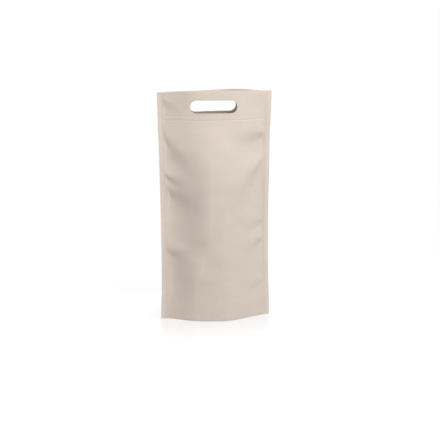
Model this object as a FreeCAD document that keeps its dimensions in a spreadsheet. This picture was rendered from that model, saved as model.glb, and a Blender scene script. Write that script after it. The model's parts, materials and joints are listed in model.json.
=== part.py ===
"""Bottle bag in welded non-woven cloth, standing open and empty, with a hand slot die-cut through both hems.

Frame: millimetres, +Z up, origin on the floor under the middle of the bag, +X across the panels, front at -Y.
Each panel is one ply that ends in the side welds: it leaves each weld level, leads in hollow and then swells
away from the middle plane up to its crown. Its cloth runs on as the grip, is turned in at the top as the hem
facing and is welded down along the hem's lower edge. A gusset, folded upwards, closes the bottom.
"""
import FreeCAD
import Part
import Sketcher
import math
import os

# Driving sizes, each with what it measures
SIZES = (
    ("bag_height", 390.0, "floor to the top fold of the hems"),
    ("bag_width", 192.0, "over the side welds at the top fold"),
    ("belly_height", 90.0, "level of the widest bow"),
    ("waist_height", 225.0, "level where the bag begins to close towards the hem"),
    ("shoulder_drop", 51.0, "hem's lower edge down to the shoulder, where the cloth bends in"),
    ("foot_draw", 4.0, "how much narrower the bag stands at the floor than at the top fold"),
    ("belly_draw", 7.6, "the same at the belly"),
    ("waist_draw", 7.0, "the same at the waist"),
    ("shoulder_draw", 4.5, "the same at the shoulder"),
    ("hem_draw", 2.0, "the same at the hem's lower edge"),
    ("foot_bow", 33.0, "middle plane to the crown of a panel at the floor"),
    ("belly_bow", 35.0, "the same at the belly"),
    ("waist_bow", 32.5, "the same at the waist"),
    ("shoulder_bow", 26.5, "the same at the shoulder"),
    ("hem_bow", 17.5, "the same at the hem's lower edge"),
    ("top_bow", 13.0, "the same at the top fold"),
    ("crown_offset", 9.0, "how far right a panel's crown stands at the floor, seen facing it"),
    ("cloth_thickness", 0.5, "one ply"),
    ("ply_gap", 0.3, "slack beside the middle plane where plies enter a side weld"),
    ("side_weld_width", 7.0, "fused strip at each side"),
    ("hem_depth", 49.0, "top fold to the lower edge of the hem"),
    ("hem_weld_height", 7.0, "fused band along the lower edge of the hem"),
    ("hem_slack", 0.1, "air between a panel and the loose part of its hem"),
    ("slot_length", 80.0, "hand slot, over its round ends"),
    ("slot_height", 21.0, "hand slot, also the diameter of its ends"),
    ("slot_margin", 4.5, "hem weld to the lower edge of the hand slot"),
    ("slot_aside", 2.5, "how far left of the middle the hand slot stands, seen from the front"),
    ("gusset_height", 40.0, "gusset ridge at the side welds"),
    ("gusset_sag", 17.0, "how far the ridge sinks midway between the welds"),
    ("cut_overrun", 5.0, "how far a cut reaches past the cloth"),
)

# Levels of the bag from the floor up, named as in the sheet, with their heights
HEM_EDGE = "(Sizes.bag_height - Sizes.hem_depth)"
HEM_WELD_TOP = f"({HEM_EDGE} + Sizes.hem_weld_height)"
SLOT_MIDDLE = f"({HEM_WELD_TOP} + Sizes.slot_margin + Sizes.slot_height / 2)"
LEVELS = (
    ("foot", "0"),
    ("belly", "Sizes.belly_height"),
    ("waist", "Sizes.waist_height"),
    ("shoulder", f"({HEM_EDGE} - Sizes.shoulder_drop)"),
    ("hem", HEM_EDGE),
    ("top", "Sizes.bag_height"),
)
PANEL_LEVELS = LEVELS[:-1]
HEM_LEVELS = LEVELS[-2:]
# How much of the way from a weld to the crown is hollow: on the left and on the right, seen facing the panel
LEAD_SHARES = {
    "foot": (0.16, 0.18),
    "belly": (0.30, 0.16),
    "waist": (0.48, 0.16),
    "shoulder": (0.36, 0.14),
    "hem": (0.12, 0.10),
    "top": (0.08, 0.08),
}

# Places of the gusset's sections between its middle and its ends
STATION_SHARES = (
    -1.0, -0.95, -0.9, -0.85, -0.79, -0.7, -0.5, -0.25, 0.0, 0.25, 0.5, 0.7, 0.79, 0.85, 0.9, 0.95, 1.0,
)
# How much of the ply gap the gusset leaves free to the panel at the bottom fold
FOLD_SLACK_SHARE = "1 / 3"
# Cloth over the gusset's ridge, measured upright, against the thickness of a ply
RIDGE_SHARE = "1.5"

THICKNESS = "Sizes.cloth_thickness"
SEAM_INNER = "(Sizes.ply_gap + Sizes.cloth_thickness)"
SEAM_OUTER = "(Sizes.ply_gap + 2 * Sizes.cloth_thickness)"
HALF_TURN = FreeCAD.Placement(FreeCAD.Vector(), FreeCAD.Rotation(FreeCAD.Vector(0, 0, 1), 180))

document = FreeCAD.newDocument("BottleBag")
sheet = document.addObject("Spreadsheet::Sheet", "Sizes")
for row, (alias, size, meaning) in enumerate(SIZES, start=1):
    sheet.set(f"A{row}", alias)
    sheet.set(f"B{row}", str(size))
    sheet.set(f"C{row}", meaning)
    sheet.setAlias(f"B{row}", alias)
document.recompute()


def value(expression):
    """The number that an expression on the sheet gives now."""
    return float(sheet.evalExpression(expression))


def half_width(level):
    """Middle of the bag to the outer edge of a side weld."""
    if level == "top":
        return "(Sizes.bag_width / 2)"
    return f"((Sizes.bag_width - Sizes.{level}_draw) / 2)"


def half_chord(level):
    """Middle of the bag to the inner edge of a side weld, where the plies begin to bow."""
    return f"({half_width(level)} - Sizes.side_weld_width)"


def rise(level):
    """How far a ply's crown stands out from its ends."""
    return f"(Sizes.{level}_bow - {SEAM_OUTER})"


def crown_place(level):
    """Where a ply's crown stands across the back panel: midway, and aside at the floor."""
    return "(-Sizes.crown_offset)" if level == "foot" else "0"


def new_body(label):
    body = document.addObject("PartDesign::Body", label)
    body.Label = label
    return body


def new_sketch(body, name, plane, offset="0"):
    """A sketch on one of the body's own planes, moved along that plane's normal."""
    support = next(item for item in body.Origin.OriginFeatures if item.Role == plane)
    sketch = body.newObject("Sketcher::SketchObject", f"{body.Label}_{name}")
    sketch.AttachmentSupport = [(support, "")]
    sketch.MapMode = "FlatFace"
    sketch.setExpression("AttachmentOffset.Base.z", offset)
    return sketch


def constrain(sketch, kind, *where):
    sketch.addConstraint(Sketcher.Constraint(kind, *where))


def dimension(sketch, name, kind, where, expression):
    """A named dimension bound to the sheet."""
    index = sketch.addConstraint(Sketcher.Constraint(kind, *where, value(expression)))
    sketch.renameConstraint(index, name)
    sketch.setExpression(f"Constraints.{name}", expression)


def polygon(sketch, corners):
    """Closed outline through corners given as pairs of expressions, each dimensioned from the origin."""
    points = [FreeCAD.Vector(value(across), value(up), 0) for across, up in corners]
    count = len(points)
    for start in range(count):
        sketch.addGeometry(Part.LineSegment(points[start], points[(start + 1) % count]))
    for start in range(count):
        constrain(sketch, "Coincident", start, 2, (start + 1) % count, 1)
    for start, (across, up) in enumerate(corners):
        dimension(sketch, f"across_{start}", "DistanceX", (-1, 1, start, 1), across)
        dimension(sketch, f"up_{start}", "DistanceY", (-1, 1, start, 1), up)


def add_arc(sketch, centre, arc_radius, *angles):
    """Arc between two angles in either order, drawn counter-clockwise."""
    circle = Part.Circle(centre, FreeCAD.Vector(0, 0, 1), arc_radius)
    return sketch.addGeometry(Part.ArcOfCircle(circle, *sorted(angles)))


def ply_half(sketch, crown, end, lead_share):
    """Face of a ply from its crown to one end, level at both: an arc for the swell, one for the lead-in."""
    across, out = end.x - crown.x, crown.y - end.y
    both_radii = (across ** 2 + out ** 2) / (2 * out)
    swell_radius, lead_radius = (1 - lead_share) * both_radii, lead_share * both_radii
    swell_centre = crown - FreeCAD.Vector(0, swell_radius, 0)
    lead_centre = end + FreeCAD.Vector(0, lead_radius, 0)
    between = lead_centre - swell_centre
    turn_angle = math.atan2(between.y, between.x)
    away_angle = math.atan2(-between.y, -between.x)
    swell = add_arc(sketch, swell_centre, swell_radius, turn_angle, math.pi / 2)
    lead = add_arc(sketch, lead_centre, lead_radius, away_angle, -math.pi / 2)
    return swell, lead


def ply_face(sketch, face, level, seam):
    """One face of a ply across the bag. Returns the lead-in arcs at its right and left ends.

    It is drawn for the back panel, whose right end here is the left one seen facing it. The numbers beside
    each end are the points of its arcs, 1 for the start and 2 for the end: where they turn, and the far ones.
    """
    crown_x, crown_y = crown_place(level), f"{seam} + {rise(level)}"
    crown = FreeCAD.Vector(value(crown_x), value(crown_y), 0)
    right_end, left_end = half_chord(level), f"(-{half_chord(level)})"
    swells, leads = [], []
    halves = (("right", right_end, 1, 2), ("left", left_end, 2, 1))
    for (side, end, turn, far), lead_share in zip(halves, LEAD_SHARES[level]):
        end_point = FreeCAD.Vector(value(end), value(seam), 0)
        swell, lead = ply_half(sketch, crown, end_point, lead_share)
        constrain(sketch, "Tangent", swell, turn, lead, turn)
        turn_x = f"{end} + ({crown_x} - {end}) * {lead_share}"
        dimension(sketch, f"{face}_{side}_swell", "DistanceX", (-1, 1, swell, 3), crown_x)
        dimension(sketch, f"{face}_{side}_turn", "DistanceX", (-1, 1, swell, turn), turn_x)
        dimension(sketch, f"{face}_{side}_lead", "DistanceX", (-1, 1, lead, 3), end)
        dimension(sketch, f"{face}_{side}_end", "DistanceX", (-1, 1, lead, far), end)
        dimension(sketch, f"{face}_{side}_seam", "DistanceY", (-1, 1, lead, far), seam)
        swells.append(swell)
        leads.append(lead)
    right, left = swells
    constrain(sketch, "Coincident", right, 2, left, 1)
    dimension(sketch, f"{face}_crown_aside", "DistanceX", (-1, 1, right, 2), crown_x)
    dimension(sketch, f"{face}_crown_out", "DistanceY", (-1, 1, right, 2), crown_y)
    return leads


def ply_section(body, level, height, seam_outer):
    """Section of one ply across the bag, a cloth's thickness deep and square-ended at the welds."""
    sketch = new_sketch(body, f"{level}_section", "XY_Plane", height)
    outer_leads = ply_face(sketch, "outer", level, seam_outer)
    inner_leads = ply_face(sketch, "inner", level, f"({seam_outer} - {THICKNESS})")
    for outer, inner, end in zip(outer_leads, inner_leads, ("EndPoint", "StartPoint")):
        points = [getattr(sketch.Geometry[arc], end) for arc in (outer, inner)]
        edge = sketch.addGeometry(Part.LineSegment(*points))
        arc_end = 1 if end == "StartPoint" else 2
        constrain(sketch, "Coincident", outer, arc_end, edge, 1)
        constrain(sketch, "Coincident", edge, 2, inner, arc_end)
    return sketch


def loft(body, sections, ruled):
    feature = body.newObject("PartDesign::AdditiveLoft", f"{body.Label}_loft")
    feature.Profile = sections[0]
    feature.Sections = sections[1:]
    feature.Ruled = ruled
    return feature


def cut_through(body, name, sketch):
    """Cuts an outline drawn on the XZ plane through the cloth, both ways from that plane."""
    feature = body.newObject("PartDesign::Pocket", f"{body.Label}_{name}")
    feature.Profile = sketch
    feature.SideType = "Symmetric"
    feature.Type = "ThroughAll"
    return feature


def cut_slot(body, aside):
    """The hand slot: two straight edges between two round ends, its middle aside from the body's."""
    sketch = new_sketch(body, "slot_outline", "XZ_Plane")
    middle = value(SLOT_MIDDLE)
    end_radius = value("Sizes.slot_height / 2")
    reach = "(Sizes.slot_length - Sizes.slot_height) / 2"
    right_place, left_place = f"{aside} + {reach}", f"{aside} - {reach}"
    normal = FreeCAD.Vector(0, 0, 1)
    right_centre = FreeCAD.Vector(value(right_place), middle, 0)
    left_centre = FreeCAD.Vector(value(left_place), middle, 0)
    right_end = Part.ArcOfCircle(Part.Circle(right_centre, normal, end_radius), -math.pi / 2, math.pi / 2)
    left_end = Part.ArcOfCircle(Part.Circle(left_centre, normal, end_radius), math.pi / 2, 3 * math.pi / 2)
    right = sketch.addGeometry(right_end)
    top = sketch.addGeometry(Part.LineSegment(right_end.EndPoint, left_end.StartPoint))
    left = sketch.addGeometry(left_end)
    bottom = sketch.addGeometry(Part.LineSegment(left_end.EndPoint, right_end.StartPoint))
    outline = (right, top, left, bottom)
    for edge, following in zip(outline, outline[1:] + outline[:1]):
        constrain(sketch, "Tangent", edge, 2, following, 1)
    constrain(sketch, "Horizontal", right, 3, left, 3)
    constrain(sketch, "Equal", right, left)
    dimension(sketch, "end_radius", "Radius", (right,), "Sizes.slot_height / 2")
    dimension(sketch, "right_end", "DistanceX", (-1, 1, right, 3), right_place)
    dimension(sketch, "left_end", "DistanceX", (-1, 1, left, 3), left_place)
    dimension(sketch, "middle", "DistanceY", (-1, 1, right, 3), SLOT_MIDDLE)
    return cut_through(body, "slot", sketch)


def cut_band(body, low, high):
    """Takes away the band of cloth between two heights, over the bag's whole width."""
    reach = f"({half_width('top')} + Sizes.cut_overrun)"
    sketch = new_sketch(body, "band_outline", "XZ_Plane")
    polygon(sketch, ((f"-{reach}", low), (reach, low), (reach, high), (f"-{reach}", high)))
    return cut_through(body, "band", sketch)


def ply(label, levels, seam_outer):
    """One ply of cloth between the side welds, through its sections at the given levels."""
    body = new_body(label)
    sections = [ply_section(body, level, height, seam_outer) for level, height in levels]
    loft(body, sections, ruled=True)
    return body


def make_panel(label, placement):
    """Single ply from the floor to the hem's lower edge."""
    body = ply(label, PANEL_LEVELS, SEAM_OUTER)
    body.Placement = placement
    return body


def make_grip(label, placement, slot_aside):
    """The panel's cloth running on to the top fold: outer ply of the hem, with the hand slot through it."""
    body = ply(label, HEM_LEVELS, SEAM_OUTER)
    cut_slot(body, slot_aside)
    body.Placement = placement
    return body


def make_hem_facing(label, placement, slot_aside):
    """Loose part of the ply turned in behind a grip, above its weld, with the hand slot through it too."""
    body = ply(label, HEM_LEVELS, f"({SEAM_INNER} - Sizes.hem_slack)")
    cut_band(body, f"{HEM_EDGE} - Sizes.cut_overrun", HEM_WELD_TOP)
    cut_slot(body, slot_aside)
    body.Placement = placement
    return body


def make_hem_weld(label, placement):
    """Lower band of the turned-in ply, fused to the grip."""
    body = ply(label, HEM_LEVELS, SEAM_INNER)
    cut_band(body, HEM_WELD_TOP, "Sizes.bag_height + Sizes.cut_overrun")
    body.Placement = placement
    return body


def make_side_weld(label, placement):
    """Fused strip that closes one side of the bag, from the floor to the top fold."""
    body = new_body(label)
    sections = []
    for level, height in LEVELS:
        inner, outer = half_chord(level), half_width(level)
        sketch = new_sketch(body, f"{level}_section", "XY_Plane", height)
        back, front = SEAM_OUTER, f"-{SEAM_OUTER}"
        polygon(sketch, ((inner, front), (outer, front), (outer, back), (inner, back)))
        sections.append(sketch)
    loft(body, sections, ruled=True)
    body.Placement = placement
    return body


def foot_line(place):
    """Inner face of the back panel along the floor: middle plane to the cloth, at a place across the bag."""
    crown, ends, out = crown_place("foot"), half_chord("foot"), rise("foot")
    left_share, right_share = LEAD_SHARES["foot"]
    away = f"abs({place} - {crown})"
    span = f"({place} > {crown} ? {ends} - {crown} : {ends} + {crown})"
    lead = f"({place} > {crown} ? {left_share} : {right_share})"
    both_radii = f"(({span} ^ 2 + {out} ^ 2) / (2 * {out}))"
    swell = f"({out} - (1 - {lead}) * {both_radii} + sqrt(((1 - {lead}) * {both_radii}) ^ 2 - {away} ^ 2))"
    hollow = f"({lead} * {both_radii} - sqrt(({lead} * {both_radii}) ^ 2 - ({span} - {away}) ^ 2))"
    return f"({SEAM_INNER} + ({away} < (1 - {lead}) * {span} ? {swell} : {hollow}))"


def make_gusset(label):
    """Cloth folded up between the panels: a low tent on the bottom folds, its ridge sinking midway."""
    body = new_body(label)
    climb_share = "Sizes.gusset_height / Sizes.belly_height"
    ridge_chord = f"({half_chord('foot')} + ({half_chord('belly')} - {half_chord('foot')}) * {climb_share})"
    reach = f"(min({half_chord('foot')}; {ridge_chord}) - Sizes.ply_gap)"
    slack = f"{FOLD_SLACK_SHARE} * Sizes.ply_gap"
    sections = []
    for step, share in enumerate(STATION_SHARES):
        ridge = f"(Sizes.gusset_height - Sizes.gusset_sag * (1 - {share * share}))"
        back_foot = f"({foot_line(f'({share} * {reach})')} - {slack})"
        front_foot = f"({foot_line(f'({-share} * {reach})')} - {slack})"
        feet = (back_foot, front_foot)
        inner = [f"({foot} - {THICKNESS} * sqrt(1 + ({foot} / {ridge}) ^ 2))" for foot in feet]
        sketch = new_sketch(body, f"station_{step}", "YZ_Plane", f"{share} * {reach}")
        outside = ((f"-{front_foot}", "0"), ("0", ridge), (back_foot, "0"))
        inside = ((inner[0], "0"), ("0", f"{ridge} - {RIDGE_SHARE} * {THICKNESS}"), (f"-{inner[1]}", "0"))
        polygon(sketch, outside + inside)
        sections.append(sketch)
    loft(body, sections, ruled=False)
    return body


UPRIGHT = FreeCAD.Placement()
pieces = [
    make_panel("front_panel", HALF_TURN),
    make_panel("back_panel", UPRIGHT),
    make_grip("front_grip", HALF_TURN, "Sizes.slot_aside"),
    make_grip("back_grip", UPRIGHT, "-Sizes.slot_aside"),
    make_hem_facing("front_hem_facing", HALF_TURN, "Sizes.slot_aside"),
    make_hem_facing("back_hem_facing", UPRIGHT, "-Sizes.slot_aside"),
    make_hem_weld("front_hem_weld", HALF_TURN),
    make_hem_weld("back_hem_weld", UPRIGHT),
    make_side_weld("left_side_weld", HALF_TURN),
    make_side_weld("right_side_weld", UPRIGHT),
    make_gusset("bottom_gusset"),
]
document.recompute()

for item in document.Objects:
    if "Invalid" in item.State or "Error" in item.State:
        raise RuntimeError(f"{item.Label} did not recompute: {item.State}")
    if item.isDerivedFrom("Sketcher::SketchObject") and not item.FullyConstrained:
        raise RuntimeError(f"{item.Label} is not fully constrained")
    if item.isDerivedFrom("PartDesign::Pocket"):
        if item.Shape.Volume >= item.BaseFeature.Shape.Volume:
            raise RuntimeError(f"{item.Label} cut nothing")
for piece in pieces:
    shape = piece.Shape
    if shape.isNull() or not shape.isValid() or len(shape.Solids) != 1:
        raise RuntimeError(f"{piece.Label} is not one valid solid")

os.makedirs("parts", exist_ok=True)
for piece in pieces:
    piece.Shape.exportStep(f"parts/{piece.Label}.step")
    box = piece.Shape.optimalBoundingBox(False, False)
    spans = f"{box.XLength:.2f} x {box.YLength:.2f} x {box.ZLength:.2f} mm"
    print(f"{piece.Label}: {spans}, {piece.Shape.Volume:.0f} mm3")
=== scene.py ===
"""Looks of the welded bottle bag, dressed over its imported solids.

Metres, in the solids' own frame: +Z up, origin on the floor, front at -Y. Each piece of cloth is a
closed thin shell. The middle surface of a panel comes from one formula for the standing bag: its width,
its bow, the place of its crown, the strip that lies flat beside a weld, the folds that start at the welds,
and its sunken top edge. Places on that surface are given as "across", from -1 at the left weld to 1 at the
right one as seen from the front, and as a height along the cloth. "Facing" is the same as across, but as
seen by someone who faces that panel from outside.
"""
import json
import math
import bpy
import numpy as np
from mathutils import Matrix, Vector


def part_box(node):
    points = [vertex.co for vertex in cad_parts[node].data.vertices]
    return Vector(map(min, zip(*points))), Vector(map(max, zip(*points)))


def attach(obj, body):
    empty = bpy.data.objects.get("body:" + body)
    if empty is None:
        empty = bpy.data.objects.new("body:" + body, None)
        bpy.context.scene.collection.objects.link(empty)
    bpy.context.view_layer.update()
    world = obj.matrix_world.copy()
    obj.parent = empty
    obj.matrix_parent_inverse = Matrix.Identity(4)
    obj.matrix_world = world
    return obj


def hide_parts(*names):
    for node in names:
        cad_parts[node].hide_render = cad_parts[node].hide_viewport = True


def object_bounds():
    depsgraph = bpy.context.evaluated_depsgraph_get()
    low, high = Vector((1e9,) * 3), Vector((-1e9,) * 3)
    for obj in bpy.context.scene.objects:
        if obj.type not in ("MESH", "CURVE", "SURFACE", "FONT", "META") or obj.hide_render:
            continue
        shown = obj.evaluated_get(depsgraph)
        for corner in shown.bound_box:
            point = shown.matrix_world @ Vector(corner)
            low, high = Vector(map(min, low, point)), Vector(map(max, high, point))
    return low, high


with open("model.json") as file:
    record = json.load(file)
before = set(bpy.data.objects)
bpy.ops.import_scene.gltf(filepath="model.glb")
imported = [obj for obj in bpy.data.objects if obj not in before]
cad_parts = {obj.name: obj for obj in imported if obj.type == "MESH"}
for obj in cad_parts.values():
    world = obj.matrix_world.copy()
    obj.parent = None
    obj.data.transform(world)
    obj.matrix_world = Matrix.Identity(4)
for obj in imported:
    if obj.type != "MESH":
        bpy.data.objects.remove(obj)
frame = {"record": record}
cad_low, cad_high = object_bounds()

# Sizes, places and colours that the frame gives
HEIGHT = cad_high.z
HALF_WIDTH = cad_high.x
HALF_DEPTH = cad_high.y
HEM_LOW, HEM_WELD_TOP = (corner.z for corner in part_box("front_hem_weld"))
MOUNT_PLACES = {mount["name"]: mount["pos_m"] for mount in frame["record"]["mounts"]}
SLOT_ASIDE, _, SLOT_MIDDLE = MOUNT_PLACES["hand_slot"]
COLOURS = {entry["slot"]: entry["base_color"] for entry in frame["record"]["materials"]}

# Signs of the sides
FRONT, BACK = -1, 1
LEFT, RIGHT = -1, 1
INNER, OUTER = -1, 1
DOWN, UP = -1, 1

# The cloth and its cut
PLY = 0.0005
GUSSET_FLAT_DEPTH = 0.080
WELD_WIDTH = 0.007
SLOT_LENGTH = 0.0785
SLOT_HEIGHT = 0.021
# The limp hems stand a little askew: how far each slot lies to the right of the mount and above it
SLOT_OFFSETS = {FRONT: (-0.00075, 0), BACK: (0.00075, 0.0006)}

# The standing shape, in tables of a height, as a share of the bag's height, and the value there
# From the middle to the outer edge of a side weld, against half the bag's greatest width
WIDTH_SHARES = (
    (0.00, 0.974), (0.05, 0.973), (0.10, 0.966), (0.18, 0.958), (0.26, 0.955), (0.40, 0.957), (0.53, 0.958),
    (0.66, 0.969), (0.79, 0.978), (0.90, 0.989), (1.00, 0.999),
)
# How far the middle between the welds stands to the right, against the same half width
SHIFT_SHARES = (
    (0.00, 0.006), (0.05, 0.009), (0.10, 0.012), (0.18, 0.008), (0.26, 0.006), (0.40, 0.003), (0.53, 0.001),
    (0.66, 0.000), (0.79, -0.003), (0.90, -0.002), (1.00, 0.000),
)
# How far a panel stands out at its crown, against half the bag's depth
BOW_SHARES = (
    (0.00, 0.91), (0.12, 0.925), (0.24, 0.93), (0.34, 0.945), (0.44, 0.97), (0.52, 0.955), (0.60, 0.90),
    (0.74, 0.76), (0.87, 0.50), (1.00, 0.36),
)
# Left and right, from here on to the end of the folds, are those of someone who faces the panel
# Where the crown stands, from -1 at the left weld to 1 at the right one
CROWN_SHARES = ((0.00, 0.13), (0.25, 0.07), (0.50, -0.03), (0.75, 0.00), (1.00, 0.00))
# How round the cloth is over the crown, to its left and to its right, where 0 is a sharp ridge
LEFT_ROUND_SHARES = (
    (0.00, 0.85), (0.10, 0.68), (0.19, 0.47), (0.32, 0.34), (0.42, 0.42), (0.55, 0.60), (0.70, 0.60),
    (0.84, 0.45), (1.00, 1.00),
)
RIGHT_ROUND_SHARES = ((0.00, 0.25), (0.40, 0.45), (0.80, 0.90), (1.00, 1.00))
# Over what length the cloth turns out of the weld into its slope
LEFT_LEADS = (
    (0.00, 0.003), (0.08, 0.010), (0.19, 0.026), (0.26, 0.018), (0.32, 0.007), (0.37, 0.024), (0.42, 0.030),
    (0.55, 0.014), (0.75, 0.008), (0.90, 0.004), (1.00, 0.003),
)
RIGHT_LEADS = ((0.00, 0.002), (0.12, 0.004), (0.40, 0.007), (0.75, 0.007), (0.90, 0.004), (1.00, 0.003))
# On the left the cloth also lies flat beside the weld and then swells: how much of its form this is
SWELL_SHARES = (
    (0.00, 0.28), (0.05, 0.32), (0.10, 0.43), (0.19, 0.70), (0.26, 0.52), (0.315, 0.14), (0.37, 0.66),
    (0.42, 0.95), (0.47, 1.00), (0.60, 1.00), (0.75, 0.60), (0.86, 0.10), (0.92, 0.30), (1.00, 0.60),
)
# How far from the weld that swell starts
SWELL_STARTS = (
    (0.00, 0.003), (0.08, 0.006), (0.19, 0.009), (0.28, 0.005), (0.34, 0.003), (0.42, 0.006), (0.48, 0.005),
    (0.60, 0.003), (1.00, 0.003),
)
# Where it ends, counted as the crown's place is
SWELL_END_SHARES = (
    (0.00, -0.40), (0.12, -0.42), (0.19, -0.37), (0.32, -0.22), (0.42, -0.14), (0.60, -0.10), (0.86, -0.15),
    (1.00, -0.40),
)

# Folds that start beside a weld: place right of the middle and height of the start and end, rise, width
FRONT_FOLDS = (
    (-0.092, 0.374, -0.056, 0.356, 0.0012, 0.0060),
    (-0.087, 0.316, -0.036, 0.242, 0.0020, 0.0080),
    (-0.085, 0.248, -0.054, 0.230, 0.0023, 0.0050),
    (-0.089, 0.225, -0.024, 0.194, 0.0033, 0.0094),
    (-0.087, 0.122, -0.048, 0.104, 0.0011, 0.0048),
    (0.083, 0.314, 0.030, 0.304, 0.0034, 0.0095),
    (0.084, 0.274, 0.036, 0.204, 0.0035, 0.0078),
    (0.080, 0.167, 0.054, 0.151, 0.0015, 0.0050),
    (0.083, 0.136, 0.045, 0.110, 0.0018, 0.0056),
    (0.082, 0.060, 0.054, 0.052, 0.0006, 0.0050),
)
BACK_FOLDS = (
    (-0.088, 0.300, -0.040, 0.262, 0.0016, 0.0070),
    (-0.086, 0.205, -0.030, 0.178, 0.0022, 0.0065),
    (-0.084, 0.112, -0.046, 0.095, 0.0014, 0.0055),
    (0.086, 0.322, 0.050, 0.300, 0.0014, 0.0065),
    (0.084, 0.242, 0.030, 0.214, 0.0020, 0.0070),
    (0.082, 0.160, 0.056, 0.149, 0.0012, 0.0045),
    (0.084, 0.082, 0.050, 0.070, 0.0010, 0.0050),
)
FOLDS = {FRONT: FRONT_FOLDS, BACK: BACK_FOLDS}
# How wide a fold is at its start and at its end, and how far from its line it is felt, against its width
FOLD_START_SHARE, FOLD_END_SHARE = 0.6, 1.6
FOLD_REACH_SHARE = 4.5
# From where to where along its line a fold comes up, and then fades
FOLD_RISE_SHARES = (-0.3, 0.2)
FOLD_FADE_SHARES = (0.4, 1.3)

# Slow unevenness of the cloth
WRINKLE_RISE = 0.00022
WRINKLE_COUNT = 9
WRINKLE_LENGTHS = (0.028, 0.075)
WRINKLE_SEEDS = {FRONT: 7, BACK: 19}
# How far from a weld the folds and the unevenness have come up in full
EASE_FROM_WELD = 0.006

# How far each panel's top edge has sunk, by place across, and the power of the height that this follows
CORNER_DROP = 0.0026
TOP_DROPS = {
    FRONT: ((-1.00, CORNER_DROP), (-0.60, 0.0002), (-0.25, -0.0006), (0.20, 0.0003), (0.60, 0.0014),
            (1.00, CORNER_DROP)),
    BACK: ((-1.00, CORNER_DROP), (-0.60, 0.0021), (-0.20, 0.0017), (0.05, 0.0008), (0.33, 0.0000),
           (0.55, 0.0004), (0.75, 0.0014), (1.00, CORNER_DROP)),
}
DROP_POWER = 12

# Half thickness of a side weld over two plies, over four at gusset and hems, and the length of the change
TWO_PLY_HALF = 0.0006
FOUR_PLY_HALF = 0.0010
PLY_CHANGE = 0.020
# How the side welds wander out of the middle plane in a slow wave, and how the right foot leans forward
SEAM_WANDER = 0.0008
SEAM_WAVE = 0.145
RIGHT_FOOT_LEAN = 0.0030
FOOT_LEAN_HEIGHT = 0.090

# Height of the gusset's ridge at the welds and midway, and how round the ridge is
GUSSET_RIDGE = 0.040
GUSSET_RIDGE_MIDDLE = 0.023
GUSSET_ROUND_SHARE = 0.06
# How closely the gusset keeps to the panels beside the welds, and with what power of the place across
GUSSET_SQUEEZE = 4
GUSSET_SQUEEZE_POWER = 8

# Folded edges at foot and top: radius of the ply's middle at a weld and free of it, and how far off that is
EDGE_RADIUS_AT_WELD = 0.0003
EDGE_RADIUS = 0.0007
EDGE_OPENS_OVER = 0.015
# Gap between a grip and its facing, from how far below the top it opens, and the gap where they are fused
FACING_GAP = 0.0001
FACING_OPENS_OVER = 0.008
FUSED_GAP = 0.000025

# The two pressed lines of a hem weld
HEM_LINE_DEPTH = 0.00032
HEM_LINE_WIDTH = 0.0008
# Teeth of the wheel that pressed them: their pitch, and how much less deep it is between them
HEM_TOOTH_PITCH = 0.005
HEM_TOOTH_SHARE = 0.3
# The crease where a panel leaves a side weld
SIDE_LINE_DEPTH = 0.0003
SIDE_LINE_WIDTH = 0.0009
# The bars of a side weld, and how much of their wave the flanks take
BAR_PITCH = 0.0026
BAR_DEPTH = 0.00018
BAR_FLANK_SHARE = 1 / 3
# Where across the weld the end of a bar starts, and where it is full
BAR_END_SHARES = (0.07, 0.21)

# Mesh spacing across a panel, with the width of the fine strip beside a weld
CELL_ACROSS = 0.00125
CELL_BESIDE_WELD = 0.0005
FINE_BESIDE_WELD = 0.0036
# Mesh spacing up a panel: below the hem, in it, at its weld and a little past that, and at the slot
CELL_UP = 0.0022
CELL_UP_HEM = 0.0009
CELL_UP_WELD = 0.00035
FINE_PAST_WELD = 0.002
CELL_UP_SLOT = 0.0007
# Rows and columns of cells in the other forms
CELLS_PER_BAR = 8
WELD_COLUMNS = 12
GUSSET_ROWS = 48
EDGE_ROWS = 6
# Edges that turn by more than this are shaded as sharp ones
SHARP_ANGLE = math.radians(50)
# Steps across and up over which the slope of a panel is taken
SLOPE_STEP_SHARE = 0.002
SLOPE_STEP_UP = 0.0003

# The cloth's surface: bond points in a turned lattice, loose fibres between them, and clouds in its colour
BOND_PITCH = 0.0016
BOND_TURN = math.radians(45)
BOND_LATTICE = {"Scale": 1.0, "Randomness": 0.08}
BOND_EDGE_SHARES = (0.16, 0.36)
FIBRE_SIZE = 0.0007
FIBRE_NOISE = {"Scale": 1 / FIBRE_SIZE, "Detail": 4.0, "Roughness": 0.65, "Distortion": 1.2}
CLOUD_SIZE = 0.011
CLOUD_NOISE = {"Scale": 1 / CLOUD_SIZE, "Detail": 5.0, "Roughness": 0.6}
NOISE_RANGE = (0.3, 0.7)
BUMP_DEPTH = 0.00012
BUMP_STRENGTH = 0.6
# Tones against the plain colour: of the clouds, of the fibres, and off and on a bond point
CLOUD_TONES = (0.988, 1.012)
FIBRE_TONES = (0.98, 1.02)
BOND_TONES = (1.0, 0.95)
# By slot: depth of a bond point against the fibres, roughness off and on it, and sheen
LOOKS = {
    "cloth": {"bond_share": 0.7, "roughness": (0.86, 0.62), "sheen": 0.15},
    "weld": {"bond_share": 0.5, "roughness": (0.66, 0.5), "sheen": 0.10},
}
SHEEN_ROUGHNESS = 0.5
# Light that comes through a ply takes on the colour of the cloth twice, and this share of it comes through
THROUGH_SHARE = 0.32

# Plain white
WHITE = (1, 1, 1, 1)
# The floor: its size, its grey as it lights the bag and as it is seen, and its roughness
FLOOR_SIZE = 60.0
FLOOR_SHADE = 0.60
FLOOR_SEEN_SHADE = 0.12
FLOOR_ROUGHNESS = 0.25
# Its gloss fades in an oval round the bag: from where to where ahead, and how much of the way aside counts
GLOSS_REACH = (0.035, 0.170)
GLOSS_ASIDE_SHARE = 0.35
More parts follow.
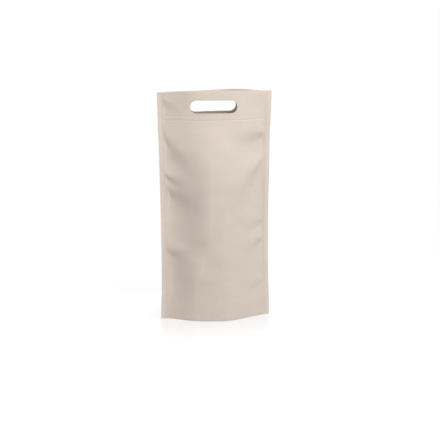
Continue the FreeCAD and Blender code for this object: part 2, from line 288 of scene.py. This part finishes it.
# Gloss and glow at the near and the far end of that
FLOOR_GLOSS = (0.5, 0.0)
FLOOR_GLOW = (0.70, 0.91)

# The surroundings, as they light the bag and as they are seen
WORLD_STRENGTH = 0.545
WORLD_SEEN_STRENGTH = 1.0
# The key light comes from far off: where it stands round the bag, how wide it looks, and its strength
KEY_AZIMUTH = math.radians(12)
KEY_ELEVATION = math.radians(50)
KEY_ANGLE = math.radians(35)
KEY_STRENGTH = 0.92
# A small lamp above and ahead of the bag lights its top more than its foot: its place, width and watts
TOP_LAMP_PLACE = Vector((0.38, -0.58, 0.95))
TOP_LAMP_SIZE = 0.5
TOP_LAMP_POWER = 3.9

# The photograph's view: the camera's place round a point in the bag, and its turn and tilt off that point
CAMERA_CENTRE = Vector((0, 0, 0.194))
CAMERA_DISTANCE = 2.004
CAMERA_AZIMUTH = math.radians(-8.68)
CAMERA_ELEVATION = math.radians(11.99)
CAMERA_TURN = math.radians(-0.262)
CAMERA_TILT = math.radians(0.691)
# Focal length and sensor width, in millimetres
CAMERA_LENS = 97.04
CAMERA_SENSOR = 36.0


def ramp(place, start, end):
    """0 up to the start, 1 from the end on, and a smooth rise between them."""
    share = np.clip((place - start) / (end - start), 0, 1)
    return share * share * (3 - 2 * share)


def curve(places, points):
    """Smooth curve through points of (place, value), read at the given places."""
    knots, values = np.array(points).T
    slopes = np.gradient(values, knots)
    cell = np.clip(np.searchsorted(knots, places) - 1, 0, len(knots) - 2)
    span = knots[cell + 1] - knots[cell]
    share = np.clip((places - knots[cell]) / span, 0, 1)
    rest = 1 - share
    start = rest ** 2 * ((1 + 2 * share) * values[cell] + share * span * slopes[cell])
    end = share ** 2 * ((1 + 2 * rest) * values[cell + 1] - rest * span * slopes[cell + 1])
    return start + end


def half_width(height):
    """Middle of the bag to the outer edge of a side weld."""
    return HALF_WIDTH * curve(height / HEIGHT, WIDTH_SHARES)


def half_chord(height):
    """Middle of the bag to the inner edge of a side weld."""
    return half_width(height) - WELD_WIDTH


def from_weld(across, height):
    """How far a place on a panel is from the nearer side weld."""
    return (1 - np.abs(across)) * half_chord(height)


def shift(height):
    """How far the middle between the side welds stands to the right."""
    return HALF_WIDTH * curve(height / HEIGHT, SHIFT_SHARES)


def seam_half(height):
    """Half thickness of a side weld: more where the gusset or the hems are welded in."""
    over_gusset = ramp(height, GUSSET_RIDGE, GUSSET_RIDGE + PLY_CHANGE)
    under_hem = 1 - ramp(height, HEM_LOW - PLY_CHANGE, HEM_LOW)
    return FOUR_PLY_HALF + (TWO_PLY_HALF - FOUR_PLY_HALF) * over_gusset * under_hem


def seam_wander(height, end):
    """How far a side weld lies out of the middle plane. The waves of the two are out of step."""
    wave = SEAM_WANDER * np.sin(2 * math.pi * height / SEAM_WAVE + end)
    if end == LEFT:
        return wave
    return wave - RIGHT_FOOT_LEAN * (1 - ramp(height, 0, FOOT_LEAN_HEIGHT))


def drop(across, height, side):
    """How far the cloth has sunk, more and more towards the top."""
    return curve(np.clip(across, LEFT, RIGHT), TOP_DROPS[side]) * (height / HEIGHT) ** DROP_POWER


def tent(across, crown, left_round, right_round):
    """A rounded tent from 0 at both ends to 1 at the crown."""
    away = across - crown
    right = away > 0
    share = away / np.where(right, 1 - crown, 1 + crown)
    roundness = np.where(right, right_round, left_round)
    return 1 - (np.hypot(share, roundness) - roundness) / (np.hypot(1, roundness) - roundness)


def panel_form(facing, height):
    """How far a panel stands out, from 0 at the welds to 1 at its crown."""
    level = height / HEIGHT
    chord = half_chord(height)
    crown = curve(level, CROWN_SHARES)
    lead = np.where(facing < 0, curve(level, LEFT_LEADS), curve(level, RIGHT_LEADS))
    climbed = (np.hypot(from_weld(facing, height), lead) - lead) / (np.hypot(chord, lead) - lead)
    form = tent(np.sign(facing) * (1 - climbed), crown, curve(level, LEFT_ROUND_SHARES),
                curve(level, RIGHT_ROUND_SHARES))
    swell_end = (1 + curve(level, SWELL_END_SHARES)) * chord
    swell = ramp((1 + facing) * chord, curve(level, SWELL_STARTS), swell_end)
    return form + (swell - form) * np.where(facing < crown, curve(level, SWELL_SHARES), 0)


def ledge(x, height, fold):
    """A fold of the cloth: it stands out above its line and sinks below it, and fades along the line."""
    start_x, start_height, end_x, end_height, rise, width = fold
    run_x, run_up = end_x - start_x, end_height - start_height
    length = math.hypot(run_x, run_up)
    side = math.copysign(1, run_x)
    along = ((x - start_x) * run_x + (height - start_height) * run_up) / length ** 2
    above = side * ((height - start_height) * run_x - (x - start_x) * run_up) / length
    spread = width * (FOLD_START_SHARE + (FOLD_END_SHARE - FOLD_START_SHARE) * np.clip(along, 0, 1))
    strength = ramp(along, *FOLD_RISE_SHARES) * (1 - ramp(along, *FOLD_FADE_SHARES))
    return rise * strength * np.tanh(above / spread) * np.exp(-(above / (FOLD_REACH_SHARE * spread)) ** 2)


def wrinkles(x, height, side):
    """A few slow waves across each other, the same at every run."""
    draw = np.random.default_rng(WRINKLE_SEEDS[side])
    total = np.zeros_like(x)
    for _ in range(WRINKLE_COUNT):
        length = draw.uniform(*WRINKLE_LENGTHS)
        angle = draw.uniform(0, math.pi)
        phase = draw.uniform(0, 2 * math.pi)
        place = x * math.cos(angle) + height * math.sin(angle)
        total = total + np.sin(2 * math.pi * place / length + phase)
    return WRINKLE_RISE * total / math.sqrt(WRINKLE_COUNT)


def middle_surface(across, height, side):
    """Points of the middle surface of a panel's ply."""
    chord = half_chord(height)
    facing = -side * across
    at_seam = seam_half(height) - PLY / 2
    at_crown = HALF_DEPTH * curve(height / HEIGHT, BOW_SHARES)
    out = at_seam + (at_crown - at_seam) * panel_form(facing, height)
    relief = wrinkles(facing * chord, height, side)
    for fold in FOLDS[side]:
        relief = relief + ledge(facing * chord, height, fold)
    out = out + relief * ramp(from_weld(across, height), 0, EASE_FROM_WELD)
    to_right = ramp(across, LEFT, RIGHT)
    wander = seam_wander(height, LEFT) * (1 - to_right) + seam_wander(height, RIGHT) * to_right
    x = across * chord + shift(height)
    return np.stack([x, side * out + wander, height - drop(across, height, side)], axis=-1)


def unit(vectors):
    """The same directions, each one long."""
    return vectors / np.linalg.norm(vectors, axis=-1, keepdims=True)


def on_panel(across, height, side, out, lift):
    """Points beside a panel's middle surface: out along its normal, and lifted along the cloth."""
    point = middle_surface(across, height, side)
    left, right = (middle_surface(across + end * SLOPE_STEP_SHARE, height, side) for end in (LEFT, RIGHT))
    below, above = (middle_surface(across, height + way * SLOPE_STEP_UP, side) for way in (DOWN, UP))
    normal = -side * unit(np.cross(right - left, above - below))
    return point + normal * out[..., None] + unit(above - below) * lift[..., None]


def edge_radius(across, height):
    """Radius of the ply's middle round a folded edge, which opens away from the welds."""
    opened = ramp(from_weld(across, height), 0, EDGE_OPENS_OVER)
    return EDGE_RADIUS_AT_WELD + (EDGE_RADIUS - EDGE_RADIUS_AT_WELD) * opened


def steps(*marks):
    """Places from mark to mark, given as (mark, spacing up to the next one), with the last mark alone."""
    places = []
    for (low, spacing), (high, _) in zip(marks, marks[1:]):
        count = max(1, round((high - low) / spacing))
        places.extend(np.linspace(low, high, count, endpoint=False))
    return np.array(places + [marks[-1][0]])


def columns():
    """Places across a panel, closer together beside the welds."""
    chord = half_chord(HEIGHT)
    fine = chord - FINE_BESIDE_WELD
    places = steps((-chord, CELL_BESIDE_WELD), (-fine, CELL_ACROSS),
                   (fine, CELL_BESIDE_WELD), (chord, None))
    return places / chord


def row_heights(low, high):
    """Heights of rows on a panel or facing, closer together at the hem weld and at the hand slot."""
    marks = [
        (0, CELL_UP),
        (HEM_LOW - FINE_PAST_WELD, CELL_UP_WELD), (HEM_WELD_TOP + FINE_PAST_WELD, CELL_UP_HEM),
        (SLOT_MIDDLE - SLOT_HEIGHT / 2, CELL_UP_SLOT), (SLOT_MIDDLE + SLOT_HEIGHT / 2, CELL_UP_HEM),
    ]
    first_spacing = [spacing for place, spacing in marks if place <= low][-1]
    return steps((low, first_spacing), *[mark for mark in marks if low < mark[0] < high], (high, None))


def corners_of(cells):
    """Which points of a grid are corners of the given cells."""
    corners = np.zeros((cells.shape[0] + 1, cells.shape[1] + 1), bool)
    for rows in (slice(None, -1), slice(1, None)):
        for places in (slice(None, -1), slice(1, None)):
            corners[rows, places] |= cells
    return corners


def cut_slot(across, height, side):
    """Moves the grid's points beside the hand slot onto its edge. Returns them and which cells stay."""
    right, up = SLOT_OFFSETS[side]
    slot_x, slot_height = SLOT_ASIDE + right, SLOT_MIDDLE + up
    reach = (SLOT_LENGTH - SLOT_HEIGHT) / 2
    x = across * half_chord(height) + shift(height)
    cell_x = (x[:-1, :-1] + x[1:, 1:]) / 2
    cell_height = (height[:-1, :-1] + height[1:, 1:]) / 2
    past_end = np.maximum(np.abs(cell_x - slot_x) - reach, 0)
    keep = np.hypot(past_end, cell_height - slot_height) > SLOT_HEIGHT / 2
    edge = corners_of(keep) & corners_of(~keep)
    end = np.clip(x, slot_x - reach, slot_x + reach)
    away = np.hypot(x - end, height - slot_height)
    scale = np.where(edge, SLOT_HEIGHT / 2 / np.maximum(away, PLY), 1)
    x = end + (x - end) * scale
    height = slot_height + (height - slot_height) * scale
    return (x - shift(height)) / half_chord(height), height, keep


def closed_faces(keep):
    """Faces of a closed shell between two grids: the kept cells on both of them, and the rims."""
    rows, count = keep.shape[0] + 1, keep.shape[1] + 1
    total = rows * count
    index = np.arange(total).reshape(rows, count)
    quads = np.stack([index[:-1, :-1], index[:-1, 1:], index[1:, 1:], index[1:, :-1]], axis=-1)[keep]
    starts, ends = quads.ravel(), np.roll(quads, -1, axis=1).ravel()
    rim = ~np.isin(starts * total + ends, ends * total + starts)
    rim_quads = np.stack([ends[rim], starts[rim], starts[rim] + total, ends[rim] + total], axis=-1)
    return np.concatenate([quads, quads[:, ::-1] + total, rim_quads])


def add_object(data):
    """An object of the same name as its data, in the scene."""
    added = bpy.data.objects.new(data.name, data)
    bpy.context.scene.collection.objects.link(added)
    return added


def shell(name, outer, inner, places, keep=None):
    """A closed mesh between two grids of points, with their flat places on the cloth for its patterns."""
    if keep is None:
        keep = np.ones((outer.shape[0] - 1, outer.shape[1] - 1), bool)
    used, faces = np.unique(closed_faces(keep), return_inverse=True)
    faces = faces.reshape(-1, 4)
    points = np.concatenate([outer.reshape(-1, 3), inner.reshape(-1, 3)])[used]
    flat = np.tile(places.reshape(-1, 2), (2, 1))[used]
    a, b, c, d = (points[faces[:, corner]] for corner in range(4))
    volume = np.einsum("ij,ij->", a, np.cross(b, c)) + np.einsum("ij,ij->", a, np.cross(c, d))
    if volume < 0:
        faces = faces[:, ::-1]
    mesh = bpy.data.meshes.new(name)
    mesh.from_pydata(points.tolist(), [], faces.tolist())
    mesh.shade_smooth()
    mesh.set_sharp_from_angle(angle=SHARP_ANGLE)
    layer = mesh.uv_layers.new(name="Cloth")
    layer.uv.foreach_set("vector", flat[faces.ravel()].astype(np.float32).ravel())
    return add_object(mesh)


def flat_places(across, height):
    """Where points of a panel or facing lie on the flat cloth."""
    return np.stack([across * half_chord(height), height], axis=-1)


def hem_lines(across, height):
    """Depth of the two pressed lines that the hem weld leaves, deeper at each of the wheel's teeth."""
    between = (1 + np.cos(2 * math.pi * across * half_chord(height) / HEM_TOOTH_PITCH)) / 2
    depth = 0
    for place in (HEM_LOW, HEM_WELD_TOP):
        depth = depth + HEM_LINE_DEPTH * np.exp(-((height - place) / HEM_LINE_WIDTH) ** 2)
    return depth * (1 - HEM_TOOTH_SHARE * between)


def side_line(across, height):
    """Depth of the crease where a panel leaves a side weld."""
    return SIDE_LINE_DEPTH * np.exp(-(from_weld(across, height) / SIDE_LINE_WIDTH) ** 2)


def edge_rows(across, height, turn, face, way):
    """Rows of one face round a folded edge, where the ply turns in: across, height, out and lift."""
    radius = edge_radius(across, height)
    reach = radius + face * PLY / 2
    shape = (len(turn), len(across))
    out = -radius + reach * np.cos(turn)[:, None]
    lift = way * reach * np.sin(turn)[:, None]
    return np.broadcast_to(across, shape), np.broadcast_to(height, shape), out, lift


def make_panel(name, side):
    """Panel and grip as one cloth, from the fold at the floor to the one at the top, with the hand slot."""
    turn = np.linspace(0, math.pi, EDGE_ROWS + 1)[1:]
    heights = row_heights(EDGE_RADIUS + PLY / 2, HEIGHT - EDGE_RADIUS - PLY / 2)
    across, height = np.meshgrid(columns(), heights)
    height[0] = edge_radius(across[0], height[0]) + PLY / 2
    height[-1] = HEIGHT - edge_radius(across[-1], height[-1]) - PLY / 2
    across, height, keep = cut_slot(across, height, side)
    press = hem_lines(across, height) + side_line(across, height)
    outs = {OUTER: PLY / 2 - press, INNER: np.full(across.shape, -PLY / 2)}
    grids = {}
    for face, out in outs.items():
        foot = edge_rows(across[0], height[0], turn[::-1], face, DOWN)
        between = (across, height, out, np.zeros(out.shape))
        top = edge_rows(across[-1], height[-1], turn, face, UP)
        all_across, all_height, all_out, lift = (np.concatenate(rows) for rows in zip(foot, between, top))
        grids[face] = on_panel(all_across, all_height, side, all_out, lift)
    edge_keep = np.ones((EDGE_ROWS, keep.shape[1]), bool)
    keep = np.concatenate([edge_keep, keep, edge_keep])
    return shell(name, grids[OUTER], grids[INNER], flat_places(all_across, all_height + lift), keep)


def make_facing(name, side):
    """Ply turned in behind a grip, from its weld to the top fold, with the hand slot."""
    across, height = np.meshgrid(columns(), row_heights(HEM_WELD_TOP, HEIGHT - EDGE_RADIUS - PLY / 2))
    height[-1] = HEIGHT - edge_radius(across[-1], height[-1]) - PLY / 2
    across, height, keep = cut_slot(across, height, side)
    near_top = ramp(height, height[-1] - FACING_OPENS_OVER, height[-1])
    behind = PLY + FACING_GAP + (2 * edge_radius(across, height) - PLY - FACING_GAP) * near_top
    flat = np.zeros(across.shape)
    outer = on_panel(across, height, side, PLY / 2 - behind, flat)
    inner = on_panel(across, height, side, -PLY / 2 - behind, flat)
    return shell(name, outer, inner, flat_places(across, height), keep)


def make_hem_weld(name, side):
    """Lower band of the turned-in ply, pressed thin where it is fused to the panel."""
    heights = steps((HEM_LOW, CELL_UP_WELD), (HEM_WELD_TOP, None))
    across, height = np.meshgrid(columns(), heights)
    flat = np.zeros(across.shape)
    behind = flat - PLY / 2 - FUSED_GAP
    outer = on_panel(across, height, side, behind, flat)
    inner = on_panel(across, height, side, behind - PLY + hem_lines(across, height), flat)
    return shell(name, outer, inner, flat_places(across, height))


def make_side_weld(name, end):
    """Fused strip at one side, with the bars that the welding jaw presses into both faces."""
    heights = steps((0, BAR_PITCH / CELLS_PER_BAR), (HEIGHT, None))
    share, height = np.meshgrid(np.linspace(0, 1, WELD_COLUMNS + 1), heights)
    x = end * (half_chord(height) + share * WELD_WIDTH) + shift(height)
    level = height - CORNER_DROP * (height / HEIGHT) ** DROP_POWER
    wave = np.cos(2 * math.pi * height / BAR_PITCH)
    bar_end = ramp(np.minimum(share, 1 - share), *BAR_END_SHARES)
    bar = ramp(wave, -BAR_FLANK_SHARE, BAR_FLANK_SHARE) * bar_end
    half = seam_half(height) - BAR_DEPTH * bar
    middle = seam_wander(height, end)
    front = np.stack([x, middle - half, level], axis=-1)
    back = np.stack([x, middle + half, level], axis=-1)
    return shell(name, front, back, np.stack([x, height], axis=-1))


def make_gusset(name):
    """Cloth folded up between the panels: a tent on the bottom folds, with a ridge that sinks midway."""
    share, across = np.meshgrid(np.linspace(-1, 1, GUSSET_ROWS + 1), columns(), indexing="ij")
    radius = edge_radius(across[0], np.full(across.shape[1], EDGE_RADIUS))
    low = radius + PLY / 2
    ridge = GUSSET_RIDGE_MIDDLE + (GUSSET_RIDGE - GUSSET_RIDGE_MIDDLE) * across ** 2
    squeeze = 1 + GUSSET_SQUEEZE * across ** GUSSET_SQUEEZE_POWER
    aside = np.sign(share) * (1 - (1 - np.abs(share)) ** squeeze)
    height = low + (ridge - low) * tent(share, 0, GUSSET_ROUND_SHARE, GUSSET_ROUND_SHARE)
    inset = np.broadcast_to(-2 * radius, share.shape)
    front, back = (on_panel(across, height, side, inset, np.zeros(share.shape)) for side in (FRONT, BACK))
    point = front + (back - front) * (1 + aside[..., None]) / 2
    normal = unit(np.cross(np.gradient(point, axis=1), np.gradient(point, axis=0)))
    places = np.stack([point[..., 0], share * GUSSET_FLAT_DEPTH / 2], axis=-1)
    return shell(name, point + normal * PLY / 2, point - normal * PLY / 2, places)


def node(tree, kind, inputs=None, **settings):
    """A node with its settings, and its inputs set to values or linked to other nodes' outputs."""
    made = tree.nodes.new(kind)
    for key, setting in settings.items():
        setattr(made, key, setting)
    for key, source in (inputs or {}).items():
        if isinstance(source, bpy.types.NodeSocket):
            tree.links.new(source, made.inputs[key])
        else:
            made.inputs[key].default_value = source
    return made


def calculate(tree, operation, *values, **settings):
    """Output of one calculation with the given values."""
    return node(tree, "ShaderNodeMath", dict(enumerate(values)), operation=operation, **settings).outputs[0]


def map_range(tree, value, start, end, kind="LINEAR"):
    """Output of a value that is mapped from one range to another."""
    inputs = {
        "Value": value, "From Min": start[0], "From Max": start[1], "To Min": end[0], "To Max": end[1]}
    return node(tree, "ShaderNodeMapRange", inputs, interpolation_type=kind).outputs["Result"]


def new_material(name):
    """An empty material and its node tree."""
    material = bpy.data.materials.new(name)
    material.use_nodes = True
    material.node_tree.nodes.clear()
    return material, material.node_tree


def cloth_material(slot):
    """Non-woven cloth: a lattice of bond points between loose fibres, with a slightly cloudy colour."""
    colour, look = COLOURS[slot], LOOKS[slot]
    material, tree = new_material(f"nonwoven_{slot}")
    place = node(tree, "ShaderNodeUVMap", uv_map="Cloth").outputs["UV"]
    turned = node(tree, "ShaderNodeMapping", {
        "Vector": place, "Rotation": (0, 0, BOND_TURN), "Scale": (1 / BOND_PITCH,) * 3}).outputs["Vector"]
    lattice = node(tree, "ShaderNodeTexVoronoi", {"Vector": turned, **BOND_LATTICE},
                   voronoi_dimensions="2D").outputs["Distance"]
    bond = map_range(tree, lattice, BOND_EDGE_SHARES, (1, 0), kind="SMOOTHSTEP")
    fibre, cloud = (
        node(tree, "ShaderNodeTexNoise", {"Vector": place, **noise}, noise_dimensions="2D").outputs["Fac"]
        for noise in (FIBRE_NOISE, CLOUD_NOISE))
    tone = calculate(tree, "MULTIPLY", map_range(tree, cloud, NOISE_RANGE, CLOUD_TONES),
                     map_range(tree, fibre, NOISE_RANGE, FIBRE_TONES))
    tone = calculate(tree, "MULTIPLY", tone, map_range(tree, bond, (0, 1), BOND_TONES))
    tinted = node(tree, "ShaderNodeVectorMath", {0: colour, "Scale": tone}, operation="SCALE").outputs[0]
    height = calculate(tree, "MULTIPLY_ADD", bond, -look["bond_share"], fibre)
    bump = node(tree, "ShaderNodeBump", {
        "Height": height, "Strength": BUMP_STRENGTH, "Distance": BUMP_DEPTH})
    shader = node(tree, "ShaderNodeBsdfPrincipled", {
        "Base Color": tinted, "Roughness": map_range(tree, bond, (0, 1), look["roughness"]),
        "Normal": bump.outputs[0], "Sheen Weight": look["sheen"], "Sheen Roughness": SHEEN_ROUGHNESS})
    through = (*(THROUGH_SHARE * channel ** 2 for channel in colour), 1)
    passed = node(tree, "ShaderNodeBsdfTranslucent", {"Color": through})
    both = node(tree, "ShaderNodeAddShader", {0: shader.outputs[0], 1: passed.outputs[0]})
    node(tree, "ShaderNodeOutputMaterial", {"Surface": both.outputs[0]})
    return material


def seen_ray(tree):
    """1 for a ray that shows the surroundings to the eye, also by gloss or glass, 0 for one that lights."""
    path = node(tree, "ShaderNodeLightPath").outputs
    seen = calculate(tree, "MAXIMUM", path["Is Camera Ray"], path["Is Glossy Ray"])
    seen = calculate(tree, "MAXIMUM", seen, path["Is Transmission Ray"])
    return calculate(tree, "SUBTRACT", seen, path["Is Diffuse Ray"], use_clamp=True)


def floor_material():
    """Glossy white that is seen as white, with a shadow, and with a reflection that fades round the bag."""
    material, tree = new_material("floor_white")
    seen = seen_ray(tree)
    oval = node(tree, "ShaderNodeMapping", {
        "Vector": node(tree, "ShaderNodeTexCoord").outputs["Object"],
        "Scale": (GLOSS_ASIDE_SHARE, 1, 1)}).outputs["Vector"]
    away = node(tree, "ShaderNodeVectorMath", {0: oval}, operation="LENGTH").outputs["Value"]
    glow = map_range(tree, away, GLOSS_REACH, FLOOR_GLOW)
    shader = node(tree, "ShaderNodeBsdfPrincipled", {
        "Base Color": map_range(tree, seen, (0, 1), (FLOOR_SHADE, FLOOR_SEEN_SHADE)),
        "Roughness": FLOOR_ROUGHNESS,
        "Specular IOR Level": map_range(tree, away, GLOSS_REACH, FLOOR_GLOSS),
        "Emission Color": WHITE,
        "Emission Strength": calculate(tree, "MULTIPLY", seen, glow)})
    node(tree, "ShaderNodeOutputMaterial", {"Surface": shader.outputs[0]})
    return material


def make_floor():
    """A floor that reaches out of sight, with no edge that could be seen."""
    reach = FLOOR_SIZE / 2
    mesh = bpy.data.meshes.new("floor")
    corners = [(-reach, -reach, 0), (reach, -reach, 0), (reach, reach, 0), (-reach, reach, 0)]
    mesh.from_pydata(corners, [], [(0, 1, 2, 3)])
    mesh.materials.append(floor_material())
    floor = add_object(mesh)


def make_world():
    """Even white surroundings: full white where they are seen, softer where they light the bag."""
    world = bpy.data.worlds.new("studio")
    world.use_nodes = True
    tree = world.node_tree
    tree.nodes.clear()
    lit, seen = (node(tree, "ShaderNodeBackground", {"Color": WHITE, "Strength": strength})
                 for strength in (WORLD_STRENGTH, WORLD_SEEN_STRENGTH))
    both = node(tree, "ShaderNodeMixShader", {0: seen_ray(tree), 1: lit.outputs[0], 2: seen.outputs[0]})
    node(tree, "ShaderNodeOutputWorld", {"Surface": both.outputs[0]})
    bpy.context.scene.world = world


def from_bag(azimuth, elevation):
    """Direction from the bag to a place round it, turned from the front to the right and then raised."""
    level = math.cos(elevation)
    return Vector((math.sin(azimuth) * level, -math.cos(azimuth) * level, math.sin(elevation)))


def add_facing(data, place, back):
    """A lamp or camera at a place, with its back turned in the given direction."""
    added = add_object(data)
    added.location = place
    added.rotation_mode = "QUATERNION"
    added.rotation_quaternion = back.to_track_quat("Z", "Y")
    return added


def make_lamps():
    """The key light, and the lamp for the top."""
    key = bpy.data.lights.new("key", "SUN")
    key.angle = KEY_ANGLE
    key.energy = KEY_STRENGTH
    key_place = from_bag(KEY_AZIMUTH, KEY_ELEVATION)
    add_facing(key, key_place, key_place)
    top = bpy.data.lights.new("top", "AREA")
    top.size = TOP_LAMP_SIZE
    top.energy = TOP_LAMP_POWER
    add_facing(top, TOP_LAMP_PLACE, TOP_LAMP_PLACE - Vector((0, 0, HEIGHT)))


def make_camera():
    """The photograph's camera."""
    data = bpy.data.cameras.new("camera")
    data.sensor_width = CAMERA_SENSOR
    data.lens = CAMERA_LENS
    place = CAMERA_CENTRE + CAMERA_DISTANCE * from_bag(CAMERA_AZIMUTH, CAMERA_ELEVATION)
    back = from_bag(CAMERA_AZIMUTH + CAMERA_TURN, CAMERA_ELEVATION + CAMERA_TILT)
    bpy.context.scene.camera = add_facing(data, place, back)


def dress(piece, materials, slot, *nodes):
    """Gives a piece its material, puts it on the body and hides the solids of its nodes, whose place it
    takes.
    """
    piece.data.materials.append(materials[slot])
    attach(piece, "root")
    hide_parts(*nodes)
    return piece


def make_bag():
    """All pieces of the bag."""
    materials = {slot: cloth_material(slot) for slot in LOOKS}
    left = dress(make_side_weld("side_weld_left", LEFT), materials, "weld", "left_side_weld")
    right = dress(make_side_weld("side_weld_right", RIGHT), materials, "weld", "right_side_weld")
    for word, side in (("front", FRONT), ("back", BACK)):
        panel = dress(make_panel(f"panel_{word}", side), materials, "cloth",
                      f"{word}_panel", f"{word}_grip")
        facing = dress(make_facing(f"hem_facing_{word}", side), materials, "cloth", f"{word}_hem_facing")
        band = dress(make_hem_weld(f"hem_weld_{word}", side), materials, "weld", f"{word}_hem_weld")
    gusset = dress(make_gusset("gusset"), materials, "cloth", "bottom_gusset")


bpy.context.scene.view_settings.view_transform = "Standard"
make_camera()
make_lamps()
make_world()
make_floor()
make_bag()
